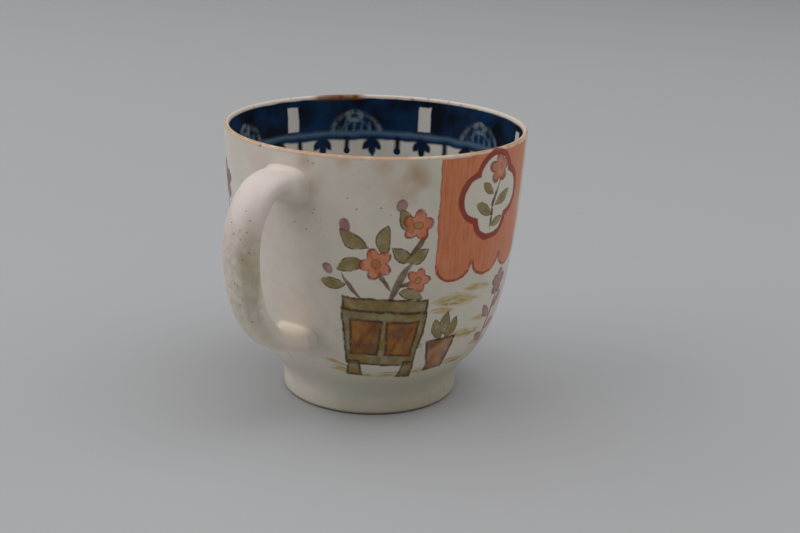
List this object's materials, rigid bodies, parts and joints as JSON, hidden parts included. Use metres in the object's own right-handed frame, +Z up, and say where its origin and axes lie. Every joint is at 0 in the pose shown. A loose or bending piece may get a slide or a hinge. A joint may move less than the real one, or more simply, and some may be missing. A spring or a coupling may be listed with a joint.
{
  "type": "coffee cup",
  "caption": "Small glazed porcelain coffee cup: rounded bowl on a foot ring, with a loop handle stuck to the wall with slip at both ends.",
  "frame": {"origin": "on the bowl's axis, on the surface that the foot ring stands on", "axes": "+Z up along the bowl's axis, -X towards the handle, -Y towards the painted front"},
  "size_m": [0.0836, 0.0674, 0.062],
  "materials": {
    "bowl_glaze": "gloss",
    "foot_glaze": "gloss",
    "handle_glaze": "gloss",
    "slip_glaze": "gloss"
  },
  "bodies": {
    "root": {"bowl": "bowl_glaze", "foot_ring": "foot_glaze", "handle": "handle_glaze", "upper_slip_joint": "slip_glaze", "lower_slip_joint": "slip_glaze"}
  },
  "joints": []
}
